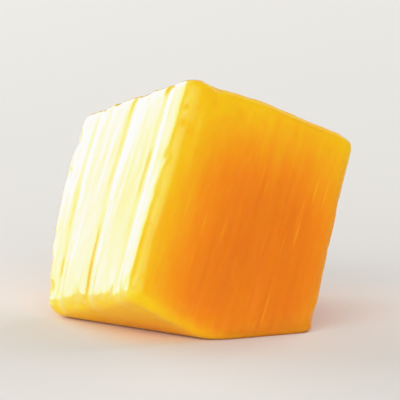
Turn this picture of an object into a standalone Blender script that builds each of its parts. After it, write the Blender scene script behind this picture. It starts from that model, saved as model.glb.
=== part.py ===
# One chunk of ripe mango flesh: a skewed block left by five knife cuts and a level one that it
# stands on, with a seventh that takes its front lower corner away underneath.  Millimetres and
# degrees here; metres in the mesh.
import math

import bmesh
import bpy
import numpy as np

# ---------------------------------------------------------------- driving dimensions
MIDDLE_LEVEL = 12.5  # height of the middle of the block over its level base

# Each cut: compass direction and upward tilt of its outward normal, and its distance
# from the middle of the block.  +X is to the right, +Y away from the front.
CUTS = {
    "peeled": (202.9, 22.9, 8.75),  # outer side of the fruit, where the peel came off
    "front": (294.6, 11.7, 10.12),
    "stone": (14.0, -17.7, 12.01),  # side that faced the stone
    "back": (120.0, -19.8, 10.44),
    "top": (64.6, 59.2, 6.86),
}
# The under cut takes the front lower corner away: how far up the near and far edges of the
# peeled side it starts, and how much of the front's foot it takes, as parts of their length.
UNDER_NEAR, UNDER_FAR, UNDER_FRONT = 0.19, 0.03, 0.50
GRAIN = (50.4, 64.6)  # compass direction and tilt of the fibres

EDGE_SOFTNESS = 1.25  # width of the blend where two cuts meet
FOOT_HEIGHT = 1.6  # how far over the level cut the faces take to gain their relief
FOOT_TUCK = 0.035  # how far the foot's four straight edges stay inside, as a part of their reach
FOOT_HOLLOW = 0.008  # and their inward bow

SIDE_BOW = 0.65  # outward bow of the far edge of the peeled side
CROWN = {"peeled": 0.45, "front": 0.45, "stone": -0.30, "back": 0.50, "top": 0.60, "under": 0.20}
CROWN_REACH = 15.0

GROOVES = (0.17, 0.48, 0.81)  # along the peeled side, as parts of its width
GROOVE_DEPTH = 0.11
GROOVE_HALF_WIDTH = 0.95
RIB_HEIGHT = 0.09

WAVE_HEIGHT = 0.05  # slow waver of the knife
WAVE_LENGTH = 9.5
WAVE_SLANT = 0.35
WAVE_SHIFT = 2.1  # radians for each mm of a cut's distance, so that no two faces match

STEPS = 24  # mesh divisions along each of the three directions
END_CROWDING, END_REACH = 3.25, 0.035  # extra divisions by the edges, and their reach
PLACE_CROWDING, PLACE_REACH = 1.6, 0.045  # and by the grooves
BEND = 0.22  # part of the upright divisions that lies below the under cut's upper edge
NARROWEST, WIDEST = 0.3, 1.5  # where the surface is looked for, as parts of the sharp block
HALVINGS = 48  # how often the search for the surface halves its interval
FLESH_COLOR = (0.930, 0.355, 0.022)


# ---------------------------------------------------------------- cuts and corners
def unit(compass, tilt):
    a, b = math.radians(compass), math.radians(tilt)
    return np.array([math.cos(a) * math.cos(b), math.sin(a) * math.cos(b), math.sin(b)])


MIDDLE = np.array([0.0, 0.0, MIDDLE_LEVEL])
PLANES = {name: (unit(c, t), d + unit(c, t) @ MIDDLE) for name, (c, t, d) in CUTS.items()}
PLANES["level"] = (np.array([0.0, 0.0, -1.0]), 0.0)
FIBRE = unit(*GRAIN)


def corner(*names):
    """Point where three cuts meet."""
    return np.linalg.solve([PLANES[name][0] for name in names], [PLANES[name][1] for name in names])


def cut_through(a, b, c):
    """Cut through three points, facing away from the middle of the block."""
    normal = np.cross(b - a, c - a)
    normal *= np.sign((a - MIDDLE) @ normal) / np.linalg.norm(normal)
    return normal, normal @ a


NEAR_TOP, NEAR_LOW = corner("peeled", "front", "top"), corner("peeled", "front", "level")
FAR_TOP, FAR_LOW = corner("peeled", "back", "top"), corner("peeled", "back", "level")
STONE_LOW = corner("stone", "front", "level")

UNDER_POINTS = (NEAR_LOW + (NEAR_TOP - NEAR_LOW) * UNDER_NEAR,
                FAR_LOW + (FAR_TOP - FAR_LOW) * UNDER_FAR,
                NEAR_LOW + (STONE_LOW - NEAR_LOW) * UNDER_FRONT)
PLANES["under"] = cut_through(*UNDER_POINTS)


def upright(end):
    """Bottom, bend and top of the stone side's edge at one end of the block."""
    low, top = corner("stone", end, "level"), corner("stone", end, "top")
    return low, low + (top - low) * BEND, top


# The block's four upright edges, by side (peeled, stone) and end (front, back).  The two of the
# peeled side bend where the under cut starts.
EDGES = np.array([[(UNDER_POINTS[2], UNDER_POINTS[0], NEAR_TOP),
                   (corner("under", "back", "level"), UNDER_POINTS[1], FAR_TOP)],
                  [upright("front"), upright("back")]])
CENTRE = EDGES[:, :, ::2].reshape(8, 3).mean(axis=0)
FOOT_CENTRE = EDGES[:, :, 0].reshape(4, 3).mean(axis=0)


def on_block(s, t, w):
    """Point of the sharp block: s peeled to stone side, t front to back, w bottom to top."""
    place = np.interp(w, (0, BEND, 1), (0, 1, 2))[:, None]
    share = np.clip(1 - np.abs(place - np.arange(3)), 0, None)
    s, t = s[:, None], t[:, None]
    front = share @ EDGES[0, 0] * (1 - s) + share @ EDGES[1, 0] * s
    back = share @ EDGES[0, 1] * (1 - s) + share @ EDGES[1, 1] * s
    return front * (1 - t) + back * t


# ---------------------------------------------------------------- relief of the faces
def hump(x):
    return np.clip(1 - x * x, 0, None)


def part_of(p, start, end):
    """How far p has come from start to end, as a part of that run."""
    return (p - start) @ (end - start) / ((end - start) @ (end - start))


def relief(name, p):
    """Outward height of a face over its flat cut, in mm."""
    normal, reach = PLANES[name]
    across = np.cross(normal, FIBRE)
    across /= np.linalg.norm(across)
    along = (p - MIDDLE) @ FIBRE
    side = (p - MIDDLE) @ across
    height = CROWN[name] * hump(along / CROWN_REACH) * hump(side / CROWN_REACH)
    phase = 2 * math.pi * (side + WAVE_SLANT * along) / WAVE_LENGTH
    height = height + WAVE_HEIGHT * np.sin(phase + WAVE_SHIFT * reach)
    if name in ("peeled", "back"):
        rise = part_of(p, FAR_LOW, FAR_TOP)
        depth = np.clip(part_of(p, NEAR_TOP, FAR_TOP), 0, 1.2)
        height = height + SIDE_BOW * hump(2 * rise - 1) * depth ** 1.5
    if name == "peeled":
        height = height + ribs(p)
    return height


def ribs(p):
    """Low ribs with narrow grooves between them, running along the fibres."""
    down = np.clip((NEAR_TOP - p) @ FIBRE / ((NEAR_TOP - NEAR_LOW) @ FIBRE), -0.2, 1.2)[:, None]
    near = NEAR_TOP * (1 - down) + NEAR_LOW * down
    run = FAR_TOP * (1 - down) + FAR_LOW * down - near
    width = np.linalg.norm(run, axis=1)
    part = ((p - near) * run).sum(axis=1) / width ** 2
    height = np.zeros(len(p))
    stops = (0.0,) + GROOVES + (1.0,)
    for low, high in zip(stops[:-1], stops[1:]):
        middle, half = (low + high) / 2, (high - low) / 2
        height += RIB_HEIGHT * hump((part - middle) / half)
    for place in GROOVES:
        height -= GROOVE_DEPTH * hump((part - place) * width / GROOVE_HALF_WIDTH) ** 2
    return height


def soft_max(a, b):
    overlap = np.clip(EDGE_SOFTNESS - np.abs(a - b), 0, None)
    return np.maximum(a, b) + overlap ** 2 / (4 * EDGE_SOFTNESS)


def outside(p):
    """Signed height over the surface: below zero inside the flesh."""
    lift = np.clip(p[:, 2] / FOOT_HEIGHT, 0, 1)
    lift = lift * lift * (3 - 2 * lift)
    height = np.full(len(p), -np.inf)
    for name in (*CUTS, "under"):
        normal, reach = PLANES[name]
        height = soft_max(height, p @ normal - reach - relief(name, p) * lift)
    return np.maximum(height, -p[:, 2])


# ---------------------------------------------------------------- mesh
def stations(crowded=()):
    """Divisions of 0..1, closer together at both ends and around the crowded places."""
    x = np.linspace(0, 1, 2001)
    density = 1 + END_CROWDING * (np.exp(-x / END_REACH) + np.exp((x - 1) / END_REACH))
    for place in crowded:
        density = density + PLACE_CROWDING * np.exp(-((x - place) / PLACE_REACH) ** 2)
    total = np.concatenate([[0.0], np.cumsum((density[1:] + density[:-1]) / 2)])
    return np.interp(np.linspace(0, total[-1], STEPS + 1), total, x)


def skin(places):
    """Points of the flesh's surface in mm, for places 0..1 on the sides of a box."""
    even = np.linspace(0, 1, STEPS + 1)
    s = np.interp(places[:, 0], even, stations())
    t = np.interp(places[:, 1], even, stations(crowded=GROOVES))
    w = np.interp(places[:, 2], even, stations(crowded=(BEND,)))
    target = on_block(s, t, w)
    low, high = np.full(len(target), NARROWEST), np.full(len(target), WIDEST)
    for _ in range(HALVINGS):
        half = (low + high) / 2
        buried = outside(CENTRE + (target - CENTRE) * half[:, None]) < 0
        low = np.where(buried, half, low)
        high = np.where(buried, high, half)
    points = CENTRE + (target - CENTRE) * low[:, None]
    foot = places[:, 2] == 0
    tuck = FOOT_TUCK + FOOT_HOLLOW * np.maximum(hump(2 * s - 1), hump(2 * t - 1))[foot, None]
    points[foot] = target[foot] + (FOOT_CENTRE - target[foot]) * tuck
    points[foot, 2] = 0.0
    points[:, :2] -= (points[:, :2].min(axis=0) + points[:, :2].max(axis=0)) / 2
    return points


# ---------------------------------------------------------------- object
for old in list(bpy.data.objects):
    bpy.data.objects.remove(old, do_unlink=True)

form = bmesh.new()
bmesh.ops.create_cube(form, size=1)
bmesh.ops.subdivide_edges(form, edges=form.edges[:], cuts=STEPS - 1, use_grid_fill=True)
points = skin(np.array([vertex.co for vertex in form.verts]) + 0.5)
for vertex, point in zip(form.verts, points):
    vertex.co = point / 1000
level_faces = [face for face in form.faces if all(vertex.co.z == 0 for vertex in face.verts)]
bmesh.ops.dissolve_faces(form, faces=level_faces)
mesh = bpy.data.meshes.new("mango_piece")
form.to_mesh(mesh)
form.free()
mesh.shade_smooth()
mesh.set_sharp_from_angle(angle=math.radians(50))

flesh = bpy.data.materials.new("mango_flesh")
flesh.use_nodes = True
surface = flesh.node_tree.nodes["Principled BSDF"]
surface.inputs["Base Color"].default_value = (*FLESH_COLOR, 1.0)
surface.inputs["Roughness"].default_value = 0.24
surface.inputs["Metallic"].default_value = 0.0
mesh.materials.append(flesh)

piece = bpy.data.objects.new("mango_piece", mesh)
bpy.context.scene.collection.objects.link(piece)
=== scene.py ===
import math

import bmesh
import bpy
import numpy as np
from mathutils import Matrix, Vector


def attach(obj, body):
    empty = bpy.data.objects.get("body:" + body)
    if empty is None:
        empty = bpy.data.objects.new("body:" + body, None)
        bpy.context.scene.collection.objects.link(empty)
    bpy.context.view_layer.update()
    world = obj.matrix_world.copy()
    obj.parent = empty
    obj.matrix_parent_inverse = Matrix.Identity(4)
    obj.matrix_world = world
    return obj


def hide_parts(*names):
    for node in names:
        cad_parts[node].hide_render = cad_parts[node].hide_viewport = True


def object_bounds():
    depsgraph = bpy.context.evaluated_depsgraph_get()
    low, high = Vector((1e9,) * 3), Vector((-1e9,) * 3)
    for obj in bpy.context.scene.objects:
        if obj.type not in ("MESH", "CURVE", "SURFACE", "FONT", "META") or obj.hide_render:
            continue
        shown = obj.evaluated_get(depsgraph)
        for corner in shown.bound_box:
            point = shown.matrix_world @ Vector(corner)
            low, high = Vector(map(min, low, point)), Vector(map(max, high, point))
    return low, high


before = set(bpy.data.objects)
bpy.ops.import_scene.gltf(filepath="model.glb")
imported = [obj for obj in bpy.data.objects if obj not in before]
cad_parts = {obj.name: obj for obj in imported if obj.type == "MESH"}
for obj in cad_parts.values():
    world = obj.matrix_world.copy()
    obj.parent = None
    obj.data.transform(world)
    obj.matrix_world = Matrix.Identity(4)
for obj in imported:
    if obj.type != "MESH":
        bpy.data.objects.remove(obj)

solid_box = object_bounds()


# ---------------------------------------------------------------- mango piece
# One chunk of ripe mango flesh, wet with its own juice.  It was peeled on its left side and
# cut with a knife on the others, and it stands on its level cut.  Its form comes from the same
# cuts as the plain solid, meshed finely enough for fibres, dents and the waver of the knife.
MM = 0.001  # the form is worked out in mm and degrees, and its mesh is in metres

middle_level = 12.5  # height of the middle of the block over its level base
cuts = {  # compass direction and upward tilt of the outward normal, distance from the middle
    "peeled": (202.9, 22.9, 8.75),
    "front": (294.6, 11.7, 10.12),
    "stone": (14.0, -17.7, 12.01),
    "back": (120.0, -19.8, 10.44),
    "top": (64.6, 59.2, 6.86),
}
under_near, under_far, under_front = 0.19, 0.03, 0.50  # where the under cut crosses the edges
grain = (50.4, 64.6)  # compass direction and tilt of the fibres

edge_softness = 1.25  # width of the blend where two cuts meet
foot_softness = 0.55  # and where they meet the level cut
foot_height = 1.6  # over this height the faces gain their relief
side_bow, bow_power = 0.65, 1.5  # outward bow of the peeled side's far edge, and how it sets in
crown = {"peeled": 0.45, "front": 0.45, "stone": -0.30, "back": 0.50, "top": 0.60, "under": 0.20}
crown_reach = 15.0  # from the middle of a face to the end of its bulge
beyond = 0.2  # how far past its ends a face's relief goes on, as a part of its length

# The peeler left grooves with low ribs between them.  Both are lower here than on the plain
# solid, because the glare on this side shows every slope twice over.
grooves = (0.17, 0.48, 0.81)  # as parts of the peeled side's width
groove_depth = 0.10
groove_half_width = 0.95
rib_height = 0.04

# The knife wavers slowly.  The shift, in radians for each mm that a cut lies from the middle of
# the base, lets no two faces match.
wave_height, wave_length, wave_slant, wave_shift = 0.05, 9.5, 0.35, 2.1

fine_steps = 126  # mesh divisions along each direction: about 0.2 mm between points
end_crowding, end_reach = 1.1, 0.05  # extra divisions by the edges, and their reach
place_crowding, place_reach = 0.6, 0.045  # and by the grooves
bend = 0.22  # part of the upright divisions that lies below the under cut's upper edge
density_samples = 2001
narrowest, widest = 0.3, 1.5  # where the surface is looked for, as parts of the sharp block
halvings = 22  # how often the search for the surface halves its interval


def unit(compass, tilt):
    a, b = math.radians(compass), math.radians(tilt)
    return np.array([math.cos(a) * math.cos(b), math.sin(a) * math.cos(b), math.sin(b)])


middle = np.array([0.0, 0.0, middle_level])
planes = {name: (unit(c, t), d + unit(c, t) @ middle) for name, (c, t, d) in cuts.items()}
planes["level"] = (np.array([0.0, 0.0, -1.0]), 0.0)
fibre = unit(*grain)


def corner(*names):
    """Point where three cuts meet."""
    return np.linalg.solve([planes[name][0] for name in names], [planes[name][1] for name in names])


def cut_through(a, b, c):
    """Cut through three points, facing away from the middle of the block."""
    normal = np.cross(b - a, c - a)
    normal *= np.sign((a - middle) @ normal) / np.linalg.norm(normal)
    return normal, normal @ a


near_top, near_low = corner("peeled", "front", "top"), corner("peeled", "front", "level")
far_top, far_low = corner("peeled", "back", "top"), corner("peeled", "back", "level")
stone_low = corner("stone", "front", "level")
under_points = (near_low + (near_top - near_low) * under_near,
                far_low + (far_top - far_low) * under_far,
                near_low + (stone_low - near_low) * under_front)
planes["under"] = cut_through(*under_points)


def upright(end):
    """Bottom, bend and top of the stone side's edge at one end of the block."""
    low, top = corner("stone", end, "level"), corner("stone", end, "top")
    return low, low + (top - low) * bend, top


# The block's four upright edges, by side (peeled, stone) and end (front, back).  The two of the
# peeled side bend where the under cut starts.
edges = np.array([[(under_points[2], under_points[0], near_top),
                   (corner("under", "back", "level"), under_points[1], far_top)],
                  [upright("front"), upright("back")]])
centre = edges[:, :, ::2].reshape(8, 3).mean(axis=0)


def on_block(s, t, w):
    """Point of the sharp block: s peeled to stone side, t front to back, w bottom to top."""
    place = np.interp(w, (0, bend, 1), (0, 1, 2))[:, None]
    share = np.clip(1 - np.abs(place - np.arange(3)), 0, None)
    s, t = s[:, None], t[:, None]
    front = share @ edges[0, 0] * (1 - s) + share @ edges[1, 0] * s
    back = share @ edges[0, 1] * (1 - s) + share @ edges[1, 1] * s
    return front * (1 - t) + back * t


def hump(x):
    """1 at x = 0, falling to 0 at -1 and 1."""
    return np.clip(1 - x * x, 0, None)


def part_of(p, start, end):
    """How far p has come from start to end, as a part of that run."""
    return (p - start) @ (end - start) / ((end - start) @ (end - start))


def across_peeled(p):
    """Place across the peeled side, 0 at its near edge and 1 at its far one, and its width."""
    down = (near_top - p) @ fibre / ((near_top - near_low) @ fibre)
    down = np.clip(down, -beyond, 1 + beyond)[:, None]
    near = near_top * (1 - down) + near_low * down
    run = far_top * (1 - down) + far_low * down - near
    width = np.linalg.norm(run, axis=1)
    return ((p - near) * run).sum(axis=1) / width ** 2, width


def groove_lines(p):
    """1 along the middle of each of the peeler's grooves, 0 beside them."""
    part, width = across_peeled(p)
    return sum(hump((part - place) * width / groove_half_width) ** 2 for place in grooves)


def ribs(p):
    """Low ribs with narrow grooves between them, running along the fibres."""
    part, _ = across_peeled(p)
    height = -groove_depth * groove_lines(p)
    stops = (0.0,) + grooves + (1.0,)
    for low, high in zip(stops[:-1], stops[1:]):
        height += rib_height * hump((2 * part - low - high) / (high - low))
    return height


def relief(name, p):
    """Outward height of a face over its flat cut."""
    normal, reach = planes[name]
    across = np.cross(normal, fibre)
    across /= np.linalg.norm(across)
    along = (p - middle) @ fibre
    side = (p - middle) @ across
    height = crown[name] * hump(along / crown_reach) * hump(side / crown_reach)
    phase = 2 * math.pi * (side + wave_slant * along) / wave_length
    height = height + wave_height * np.sin(phase + wave_shift * reach)
    if name in ("peeled", "back"):
        rise = part_of(p, far_low, far_top)
        depth = np.clip(part_of(p, near_top, far_top), 0, 1 + beyond)
        height = height + side_bow * hump(2 * rise - 1) * depth ** bow_power
    if name == "peeled":
        height = height + ribs(p)
    return height


def soft_max(a, b, softness):
    """The larger of two heights, blended where they are nearly equal."""
    overlap = np.clip(softness - np.abs(a - b), 0, None)
    return np.maximum(a, b) + overlap ** 2 / (4 * softness)


def outside(p):
    """Signed height over the surface: below zero inside the flesh."""
    lift = np.clip(p[:, 2] / foot_height, 0, 1)
    lift = lift * lift * (3 - 2 * lift)
    height = np.full(len(p), -np.inf)
    for name in (*cuts, "under"):
        normal, reach = planes[name]
        height = soft_max(height, p @ normal - reach - relief(name, p) * lift, edge_softness)
    return soft_max(height, -p[:, 2], foot_softness)


def stations(crowded=()):
    """Divisions of 0..1, closer together at both ends and around the crowded places."""
    x = np.linspace(0, 1, density_samples)
    density = 1 + end_crowding * (np.exp(-x / end_reach) + np.exp((x - 1) / end_reach))
    for place in crowded:
        density = density + place_crowding * np.exp(-((x - place) / place_reach) ** 2)
    total = np.concatenate([[0.0], np.cumsum((density[1:] + density[:-1]) / 2)])
    return np.interp(np.linspace(0, total[-1], fine_steps + 1), total, x)


def skin(places):
    """Points of the flesh's surface in mm, for places 0..1 on the sides of a box."""
    even = np.linspace(0, 1, fine_steps + 1)
    target = on_block(np.interp(places[:, 0], even, stations()),
                      np.interp(places[:, 1], even, stations(crowded=grooves)),
                      np.interp(places[:, 2], even, stations(crowded=(bend,))))
    low, high = np.full(len(target), narrowest), np.full(len(target), widest)
    for _ in range(halvings):
        half = (low + high) / 2
        buried = outside(centre + (target - centre) * half[:, None]) < 0
        low = np.where(buried, half, low)
        high = np.where(buried, high, half)
    return centre + (target - centre) * low[:, None]


form = bmesh.new()
bmesh.ops.create_cube(form, size=1)
bmesh.ops.subdivide_edges(form, edges=form.edges[:], cuts=fine_steps - 1, use_grid_fill=True)
points = skin(np.array([vertex.co for vertex in form.verts]) + 0.5)

# Flesh is yellow under the peel and orange inside.  The yellow along thin edges is painted light:
# it stands in for light that comes through the flesh there, and the under cut's own yellow is
# painted light that stands in for light thrown up onto it.  For each face: its own yellow, how much
# it takes from the faces that it meets, how much it gives them, and how far that reaches in mm.
yellowing_and_glow = {
    "peeled": (0.84, 0.30, 1.00, 3.8),
    "front": (0.0, 0.95, 0.85, 1.9),
    "top": (0.0, 0.90, 0.95, 4.4),
    "back": (0.0, 0.75, 0.60, 1.9),
    "stone": (0.0, 0.55, 0.42, 2.4),
    "under": (0.18, 0.85, 0.18, 2.0),
    "level": (0.0, 0.0, 0.14, 3.2),
}
face_blend = 0.5  # mm within which a point by an edge belongs to both faces
yellow_and_glow_fall = 1.4  # power that the yellow falls off with, inwards from a face
most_yellow_and_glow = 1.05
below = {name: np.clip(planes[name][1] - points @ planes[name][0], 0, None) for name in yellowing_and_glow}
belonging = np.array([np.exp(-below[name] / face_blend) for name in yellowing_and_glow])
belonging /= belonging.sum(axis=0)
# painted light: the yellow of the thin edges stands in for light coming through them, on top of the
# yellow under the peel
yellow_and_glow = np.zeros(len(points))
for own, share in zip(yellowing_and_glow, belonging):
    itself, takes = yellowing_and_glow[own][:2]
    yellow_and_glow += share * itself
    for other, (_, _, gives, reach) in yellowing_and_glow.items():
        if other != own:
            yellow_and_glow += share * takes * gives * np.exp(-(below[other] / reach) ** yellow_and_glow_fall)

# What the material and the fine relief read at each point of the surface, 0 for none of it and
# about 1 for all of it.  The reaches are mm inwards from a face or an edge.
edge_reach, film_reach, line_reach, stone_reach = 1.0, 0.4, 0.8, 5.0
end_grain_power = 4  # keeps the end grain to faces that cut nearly square across the fibres
traits = {
    # the yellow holds the painted glow of the thin edges as well as the yellow under the peel
    "yellow_and_glow": np.minimum(yellow_and_glow, most_yellow_and_glow),
    "end_grain": sum(share * abs(planes[name][0] @ fibre) ** end_grain_power
                     for name, share in zip(yellowing_and_glow, belonging)),
    "edge": np.exp(-np.sort(list(below.values()), axis=0)[1] / edge_reach),
    "peeled": np.exp(-below["peeled"] / film_reach),
    "peeler_lines": groove_lines(points) * np.exp(-below["peeled"] / line_reach),
    "stone_side": np.exp(-below["stone"] / stone_reach),
}

nearly_level = 0.003  # mm over the base, below which a point lies on the level cut
points[:, 2] = np.where(points[:, 2] < nearly_level, 0.0, points[:, 2])
solid_middle = (np.array(solid_box[0]) + np.array(solid_box[1]))[:2] / 2 / MM
points[:, :2] += solid_middle - (points[:, :2].min(axis=0) + points[:, :2].max(axis=0)) / 2
for vertex, point in zip(form.verts, points):
    vertex.co = point * MM
flesh_mesh = bpy.data.meshes.new("mango_flesh")
form.to_mesh(flesh_mesh)
form.free()
flesh_mesh.shade_smooth()
for name, values in traits.items():
    attribute = flesh_mesh.attributes.new(name, "FLOAT", "POINT")
    attribute.data.foreach_set("value", values.astype(np.float32))
flesh = bpy.data.objects.new("mango_flesh", flesh_mesh)
bpy.context.scene.collection.objects.link(flesh)


def linear(hex_color):
    """An sRGB hex colour as linear red, green, blue and full alpha."""
    channels = [int(hex_color[i:i + 2], 16) / 255 for i in (1, 3, 5)]
    return (*[c / 12.92 if c <= 0.04045 else ((c + 0.055) / 1.055) ** 2.4 for c in channels], 1.0)


def add(tree, kind, inputs=None, **settings):
    """Adds a node.  Inputs are values, or nodes and sockets to link; the rest are settings."""
    node = tree.nodes.new(kind)
    for name, value in settings.items():
        setattr(node, name, value)
    for key, value in (inputs or {}).items():
        source = value.outputs[0] if isinstance(value, bpy.types.Node) else value
        if isinstance(source, bpy.types.NodeSocket):
            tree.links.new(source, node.inputs[key])
        else:
            node.inputs[key].default_value = source
    return node


def along_fibres(tree, place, stretch):
    """Places turned so that Z runs along the fibres, with patterns drawn out that much."""
    turned = add(tree, "ShaderNodeVectorRotate", {
        "Vector": place, "Rotation": (0, math.radians(90 - grain[1]), math.radians(grain[0]))},
        rotation_type="EULER_XYZ", invert=True)
    return add(tree, "ShaderNodeVectorMath", {0: turned, 1: (1, 1, 1 / stretch)},
               operation="MULTIPLY")


def streaks(tree, place, stretch, spacing, detail=2.0, seed=0.0):
    """Streaks along the fibres from -0.5 to 0.5, that far apart."""
    scale = add(tree, "ShaderNodeMath", {0: 1.0, 1: spacing}, operation="DIVIDE")
    noise = add(tree, "ShaderNodeTexNoise", {
        "Vector": along_fibres(tree, place, stretch), "W": seed, "Scale": scale,
        "Detail": detail, "Roughness": 0.55}, noise_dimensions="4D")
    return add(tree, "ShaderNodeMath", {0: noise, 1: 0.5}, operation="SUBTRACT")


def threads(tree, place, stretch, spacing, thickness):
    """Single wandering threads, 1 in the middle and 0 beside them, that come and go."""
    squeezed = along_fibres(tree, place, stretch)
    drift = add(tree, "ShaderNodeTexNoise", {"Vector": squeezed, "Scale": 0.5 / spacing})
    drift = add(tree, "ShaderNodeVectorMath", {
        0: drift.outputs["Color"], "Scale": 1.2 * spacing}, operation="SCALE")
    bent = add(tree, "ShaderNodeVectorMath", {0: squeezed, 1: drift}, operation="ADD")
    cells = add(tree, "ShaderNodeTexVoronoi", {"Vector": bent, "Scale": 1 / spacing})
    thread = add(tree, "ShaderNodeMapRange", {
        "Value": cells, "From Min": 0.2 * thickness / spacing, "From Max": thickness / spacing,
        "To Min": 1.0, "To Max": 0.0}, interpolation_type="SMOOTHSTEP")
    shown = add(tree, "ShaderNodeMapRange", {
        "Value": streaks(tree, place, stretch / 4, 2 * spacing), "From Min": -0.12,
        "From Max": 0.08}, interpolation_type="SMOOTHSTEP")
    return add(tree, "ShaderNodeMath", {0: thread, 1: shown}, operation="MULTIPLY")


# Ripe mango flesh, cut and wet.  Light goes in a few millimetres and comes out orange, the
# fibres in it are a little paler, and a film of juice gives it its sharp highlights.
ripe_wet_flesh = bpy.data.materials.new("ripe_wet_mango_flesh")
ripe_wet_flesh.use_nodes = True
tree = ripe_wet_flesh.node_tree
tree.nodes.clear()
place = add(tree, "ShaderNodeTexCoord").outputs["Object"]
trait = {name: add(tree, "ShaderNodeAttribute", attribute_name=name).outputs["Fac"]
         for name in traits}
fine_streaks = streaks(tree, place, stretch=18.0, spacing=0.55 * MM, detail=3.0)
broad_streaks = streaks(tree, place, stretch=2.5, spacing=5.0 * MM)
fibres = threads(tree, place, stretch=16.0, spacing=0.7 * MM, thickness=0.19 * MM)

# the yellow of the edges, partly a painted glow for light coming through thin flesh, comes and goes
# in patches
patchiness = 0.6
patches = streaks(tree, place, stretch=1.6, spacing=6.0 * MM)
patches = add(tree, "ShaderNodeMath", {0: patches, 1: patchiness, 2: 1.0},
              operation="MULTIPLY_ADD")
yellow_and_glow_patches = add(tree, "ShaderNodeMath", {0: trait["yellow_and_glow"], 1: patches},
                     operation="MULTIPLY")

ripeness_and_glow = 0.85  # inside the flesh, where 0 is yellow and 1 is deep orange
# the yellow patches pull it towards yellow with painted light along the thin edges, beside the
# yellow under the peel
for value, weight in ((yellow_and_glow_patches, -0.82), (trait["stone_side"], 0.08),
                      (broad_streaks, 0.24), (fine_streaks, 0.24), (fibres, -0.24)):
    ripeness_and_glow = add(tree, "ShaderNodeMath", {0: value, 1: weight, 2: ripeness_and_glow},
                   operation="MULTIPLY_ADD")
ramp = add(tree, "ShaderNodeValToRGB", {"Fac": ripeness_and_glow})
stops = ramp.color_ramp.elements
stops[0].position, stops[0].color = 0.05, linear("#ffc610")
stops[1].position, stops[1].color = 1.0, linear("#e37512")
for position, color in ((0.38, "#feb314"), (0.70, "#f29113")):
    stop = stops.new(position)
    stop.color = linear(color)

# the pale layer under the peel stays on the peeled side, in streaks and along the grooves; its pale
# cream there is partly a painted highlight, standing in for the glare that the grooves turn aside
pale_and_sheen_in_streaks, pale_and_sheen_in_grooves = 0.32, 0.58
pale_and_sheen = add(tree, "ShaderNodeMapRange", {
    "Value": streaks(tree, place, stretch=7.0, spacing=1.6 * MM),
    "From Min": -0.1, "From Max": 0.2, "To Max": pale_and_sheen_in_streaks})
pale_and_sheen = add(tree, "ShaderNodeMath", {0: pale_and_sheen, 1: trait["peeled"]}, operation="MULTIPLY")
pale_and_sheen = add(tree, "ShaderNodeMath", {0: trait["peeler_lines"], 1: pale_and_sheen_in_grooves, 2: pale_and_sheen},
           operation="MULTIPLY_ADD")
color = add(tree, "ShaderNodeMix", {"Factor": pale_and_sheen, "A": ramp, "B": linear("#e9df7e")},
            data_type="RGBA")

# the juice film is thickest on the closed peeled side and sinks in where the fibres are cut
# across, which leaves the ends duller; the fibres ripple it
film_on_sides, film_on_peeled = 0.18, 0.82  # the peeled side has both
dull_ends = 0.14
thread_ripple = 0.8
shine = add(tree, "ShaderNodeMapRange", {
    "Value": streaks(tree, place, stretch=6.0, spacing=1.4 * MM),
    "From Min": -0.3, "From Max": 0.3, "To Min": 0.20, "To Max": 0.36})
shine = add(tree, "ShaderNodeMath", {0: trait["end_grain"], 1: dull_ends, 2: shine},
            operation="MULTIPLY_ADD")
film = add(tree, "ShaderNodeMapRange", {
    "Value": trait["end_grain"], "To Min": film_on_sides, "To Max": 0.0})
film = add(tree, "ShaderNodeMath", {0: trait["peeled"], 1: film_on_peeled, 2: film},
           operation="MULTIPLY_ADD")
ripple = add(tree, "ShaderNodeMath", {0: fibres, 1: thread_ripple, 2: fine_streaks},
             operation="MULTIPLY_ADD")
ripple = add(tree, "ShaderNodeBump", {"Height": ripple, "Strength": 0.3, "Distance": 0.05 * MM})
surface = add(tree, "ShaderNodeBsdfPrincipled", {
    "Base Color": color.outputs["Result"],
    "Roughness": shine,
    "Normal": ripple,
    "IOR": 1.35,
    "Specular IOR Level": 0.30,
    "Subsurface Weight": 1.0,
    "Subsurface Radius": (1.0, 0.42, 0.12),
    "Subsurface Scale": 2.5 * MM,
    "Coat Weight": film,
    "Coat Roughness": 0.10,
    "Coat IOR": 1.36,
})
add(tree, "ShaderNodeOutputMaterial", {"Surface": surface})

# The fine relief follows the fibres: they, broader streaks and slow swells lift the surface
# along its normal, so they show as lines on the long sides and as dots on the ends.  Small
# dents are pressed into the edges.  The foot stays level.
relief_tree = bpy.data.node_groups.new("flesh_relief", "GeometryNodeTree")
relief_tree.interface.new_socket("Geometry", in_out="OUTPUT", socket_type="NodeSocketGeometry")
relief_tree.interface.new_socket("Geometry", in_out="INPUT", socket_type="NodeSocketGeometry")
relief_values = {
    "Material": ("NodeSocketMaterial", ripe_wet_flesh),
    "Fibre Spacing": ("NodeSocketFloat", 0.6 * MM),
    "Fibre Height": ("NodeSocketFloat", 0.05 * MM),
    "Streak Spacing": ("NodeSocketFloat", 2.2 * MM),
    "Streak Height": ("NodeSocketFloat", 0.10 * MM),
    "Swell Spacing": ("NodeSocketFloat", 3.4 * MM),
    "Swell Height": ("NodeSocketFloat", 0.16 * MM),
    "Dent Spacing": ("NodeSocketFloat", 2.4 * MM),
    "Dent Depth": ("NodeSocketFloat", 0.8 * MM),
    "Seed": ("NodeSocketFloat", 3.0),
}
relief_ids = {}
for name, (kind, _) in relief_values.items():
    socket = relief_tree.interface.new_socket(name, in_out="INPUT", socket_type=kind)
    relief_ids[name] = socket.identifier
given = add(relief_tree, "NodeGroupInput").outputs
here = add(relief_tree, "GeometryNodeInputPosition").outputs[0]

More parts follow.
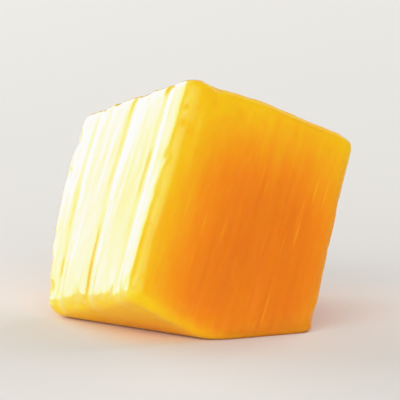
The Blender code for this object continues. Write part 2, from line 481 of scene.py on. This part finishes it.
# fibres stand out most on the stone side, where they grow out of the stone
usual_fibres = 0.8  # their height on the other sides, with 1.0 more for the stone side
stone_side = add(relief_tree, "GeometryNodeInputNamedAttribute", {"Name": "stone_side"})
fibre_height = add(relief_tree, "ShaderNodeMath", {0: stone_side, 1: usual_fibres},
                   operation="ADD")
fibre_height = add(relief_tree, "ShaderNodeMath", {0: fibre_height, 1: given["Fibre Height"]},
                   operation="MULTIPLY")

# dents only go inwards: where their pattern would lift an edge, it is left nearly as it is
least_dent = -0.03
edge = add(relief_tree, "GeometryNodeInputNamedAttribute", {"Name": "edge"})
edge_depth = add(relief_tree, "ShaderNodeMath", {0: edge, 1: given["Dent Depth"]},
                 operation="MULTIPLY")
press = streaks(relief_tree, here, stretch=1.0, spacing=given["Dent Spacing"], detail=0.8,
                seed=given["Seed"])
press = add(relief_tree, "ShaderNodeMath", {0: press, 1: least_dent}, operation="MINIMUM")
height = add(relief_tree, "ShaderNodeMath", {0: press, 1: edge_depth}, operation="MULTIPLY")

for stretch, spacing, amount in ((14.0, "Fibre Spacing", fibre_height),
                                 (9.0, "Streak Spacing", given["Streak Height"]),
                                 (1.6, "Swell Spacing", given["Swell Height"])):
    pattern = streaks(relief_tree, here, stretch, given[spacing], detail=1.5, seed=given["Seed"])
    height = add(relief_tree, "ShaderNodeMath", {0: pattern, 1: amount, 2: height},
                 operation="MULTIPLY_ADD")

# the patterns reach half a unit up and down, so twice that gives the heights as they are named
level = add(relief_tree, "ShaderNodeSeparateXYZ", {0: here}).outputs["Z"]
off_foot = add(relief_tree, "ShaderNodeMapRange", {
    "Value": level, "From Min": 0.1 * MM, "From Max": 1.2 * MM, "To Max": 2.0})
height = add(relief_tree, "ShaderNodeMath", {0: height, 1: off_foot}, operation="MULTIPLY")
offset = add(relief_tree, "ShaderNodeVectorMath", {
    0: add(relief_tree, "GeometryNodeInputNormal"), "Scale": height}, operation="SCALE")
moved = add(relief_tree, "GeometryNodeSetPosition", {
    "Geometry": given["Geometry"], "Offset": offset})
real = add(relief_tree, "GeometryNodeRealizeInstances", {"Geometry": moved})
coloured = add(relief_tree, "GeometryNodeSetMaterial", {
    "Geometry": real, "Material": given["Material"]})
add(relief_tree, "NodeGroupOutput", {"Geometry": coloured})

modifier = flesh.modifiers.new("flesh_relief", "NODES")
modifier.node_group = relief_tree
for name, (_, value) in relief_values.items():
    modifier[relief_ids[name]] = value
graph = bpy.context.evaluated_depsgraph_get()
finished = bpy.data.meshes.new_from_object(flesh.evaluated_get(graph), depsgraph=graph)
flesh.modifiers.clear()
flesh.data = finished
finished.name = "mango_flesh"

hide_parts("mango_piece")
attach(flesh, "root")


# ---------------------------------------------------------------- floor
# A plain pale tabletop, matt and without a pattern, for the piece to stand on.  It isn't part
# of the object.
floor_half_width = 4.0

form = bmesh.new()
bmesh.ops.create_grid(form, x_segments=1, y_segments=1, size=floor_half_width)
floor_mesh = bpy.data.meshes.new("floor")
form.to_mesh(floor_mesh)
form.free()
pale_board = bpy.data.materials.new("matt_pale_board")
pale_board.use_nodes = True
surface = pale_board.node_tree.nodes["Principled BSDF"]
surface.inputs["Base Color"].default_value = linear("#e9e8e5")
surface.inputs["Roughness"].default_value = 0.8
floor_mesh.materials.append(pale_board)
floor = bpy.data.objects.new("floor", floor_mesh)
bpy.context.scene.collection.objects.link(floor)


# ---------------------------------------------------------------- light
# A large soft light from the front left with a small low one below it, a broad low window
# behind on the left, which the peeled side mirrors, a weak fill from behind on the right, and
# an even room.
def aim(thing, towards):
    """Turns a light or a camera towards a point, upright."""
    look = np.array(towards) - np.array(thing.location)
    flat = math.hypot(look[0], look[1])
    thing.rotation_euler = (math.atan2(flat, -look[2]), 0, math.atan2(-look[0], look[1]))


def soft_light(name, direction, distance, width, height, radiance, color):
    """An evenly bright panel, in that direction from the piece and facing it."""
    lamp = bpy.data.lights.new(name, "AREA")
    lamp.shape = "RECTANGLE"
    lamp.size, lamp.size_y = width, height
    lamp.energy = radiance * math.pi * width * height
    lamp.color = linear(color)[:3]
    light = bpy.data.objects.new(name, lamp)
    light.location = np.array(direction) / np.linalg.norm(direction) * distance
    bpy.context.scene.collection.objects.link(light)
    aim(light, (0, 0, middle_level * MM))


soft_light("front_light", direction=(-0.20, -0.88, 0.46), distance=0.95,
           width=1.5, height=0.56, radiance=2.5, color="#fffaf2")
soft_light("low_light", direction=(-0.62, -0.75, 0.12), distance=0.5,
           width=0.5, height=0.12, radiance=3.1, color="#fffaf2")
soft_light("window", direction=(-0.70, 0.68, 0.27), distance=0.6,
           width=0.60, height=0.30, radiance=4.5, color="#ffffff")
soft_light("fill", direction=(0.60, 0.55, 0.60), distance=0.8,
           width=0.6, height=0.6, radiance=2.3, color="#fffaf2")
world = bpy.data.worlds.new("room")
world.use_nodes = True
world.node_tree.nodes["Background"].inputs["Color"].default_value = linear("#f4f6fa")
world.node_tree.nodes["Background"].inputs["Strength"].default_value = 0.36
bpy.context.scene.world = world


# ---------------------------------------------------------------- camera
# A long lens, square to the front and looking down on it a little, from far away, as the
# photograph was taken.  Very bright light is rolled off softly in its picture.
camera_tilt = 10.5
camera_distance = 1.2
view_width = 39.6  # mm across the picture at the piece
view_level = 11.6  # mm over the floor, at the middle of the picture

lens = bpy.data.cameras.new("camera")
lens.sensor_width = 36.0
lens.lens = lens.sensor_width * camera_distance / (view_width * MM)
camera = bpy.data.objects.new("camera", lens)
target = np.array([0.0, 0.0, view_level * MM])
camera.location = target + camera_distance * np.array(
    [0, -math.cos(math.radians(camera_tilt)), math.sin(math.radians(camera_tilt))])
bpy.context.scene.collection.objects.link(camera)
aim(camera, target)
bpy.context.scene.camera = camera

# Bright light is rolled off as on film, so that the glare of the wet flesh keeps some of its
# own colour.  Brightness is 1.0 at full white, and below the shoulder nothing changes.
shoulder = 0.85
brightest = 3.0  # where the curve ends
shoulder_points = 16  # closest together by the shoulder
view = bpy.context.scene.view_settings
view.view_transform = "Standard"
view.use_curve_mapping = True
tone = view.curve_mapping
tone.clip_max_x = brightest
tone.clip_max_y = brightest
*each_color, combined = tone.curves
for curve in each_color:
    curve.points[1].location = (brightest, brightest)
combined.points[1].location = (shoulder, shoulder)
for part in np.linspace(0, 1, shoulder_points + 1)[1:]:
    over = (brightest - shoulder) * part ** 2
    combined.points.new(shoulder + over, shoulder + over / (1 + over / (1 - shoulder)))
for point in combined.points:
    point.handle_type = "VECTOR"
tone.update()
